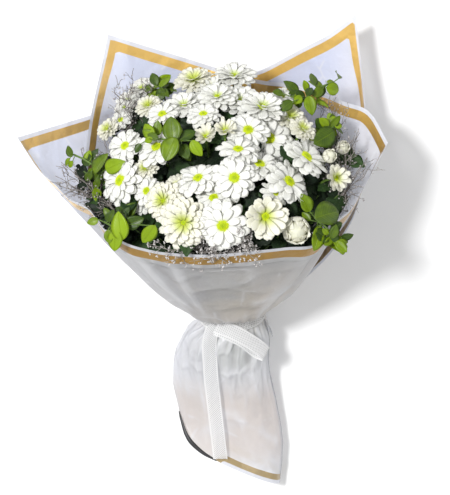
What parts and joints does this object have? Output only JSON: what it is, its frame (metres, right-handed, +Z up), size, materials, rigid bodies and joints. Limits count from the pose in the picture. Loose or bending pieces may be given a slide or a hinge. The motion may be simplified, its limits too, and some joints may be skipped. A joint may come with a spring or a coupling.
{
  "type": "wrapped flower bouquet",
  "caption": "Dome of white daisy chrysanthemums with leafy sprigs and dry twigs, wrapped in a flared cone of milky film with a metallic-look border, tied at the neck with a lace ribbon.",
  "frame": {"origin": "the middle of the flat spot of the wrap's back on which the bunch lies, under the flowers", "axes": "+Y from the tie towards the flowers, +Z up from the surface it lies on, towards the viewer, +X to the right as seen from the front"},
  "size_m": [0.4487, 0.6414, 0.3335],
  "materials": {
    "film": "milky translucent wrapping film with a gold printed border inside a white margin, softly glossy",
    "petals": "soft matte white petals, creamy green towards the middle of the double heads",
    "greens": "fresh green stems, cups and leaves, satin, with yellow-green daisy discs",
    "dry_twigs": "dry grey-brown sea-lavender twigs with tiny papery florets, matte",
    "lace": "white open lace ribbon, matte"
  },
  "bodies": {
    "root": {"film_back_left": "film", "film_back_right": "film", "film_round_front": "film", "daisy_front_big": "petals", "daisy_front_left": "petals", "daisy_double_front": "petals", "daisy_bud_front": "petals", "daisy_centre": "petals", "daisy_centre_left": "petals", "daisy_inner_left": "petals", "daisy_right_wide": "petals", "daisy_right_tucked": "petals", "daisy_double_left": "petals", "daisy_double_inner": "petals", "daisy_half_left": "petals", "daisy_half_far_left": "petals", "daisy_left": "petals", "daisy_double_far_left": "petals", "daisy_left_upper": "petals", "daisy_left_inner": "petals", "daisy_corner_low": "petals", "daisy_corner_middle": "petals", "daisy_corner_high": "petals", "daisy_left_top": "petals", "daisy_double_upper_left": "petals", "daisy_upper_left": "petals", "daisy_above_leaves": "petals", "daisy_top_middle": "petals", "daisy_top_centre": "petals", "daisy_top_right": "petals", "daisy_double_top": "petals", "daisy_top_left": "petals", "daisy_top_inner": "petals", "daisy_top_small": "petals", "daisy_top": "petals", "daisy_cream_left": "petals", "daisy_cream_right": "petals", "daisy_middle": "petals", "daisy_middle_top": "petals", "daisy_middle_right": "petals", "daisy_middle_low": "petals", "daisy_right": "petals", "daisy_double_right_high": "petals", "daisy_double_right": "petals", "daisy_right_low": "petals", "daisy_small_right": "petals", "daisy_far_right": "petals", "daisy_bud_right": "petals", "daisy_bud_right_low": "petals", "stems_front": "greens", "stems_right": "greens", "stems_back": "greens", "stems_left": "greens", "dry_spray_left": "dry_twigs", "dry_spray_right": "dry_twigs", "dry_spray_front": "dry_twigs", "lace_ribbon": "lace"}
  },
  "joints": []
}
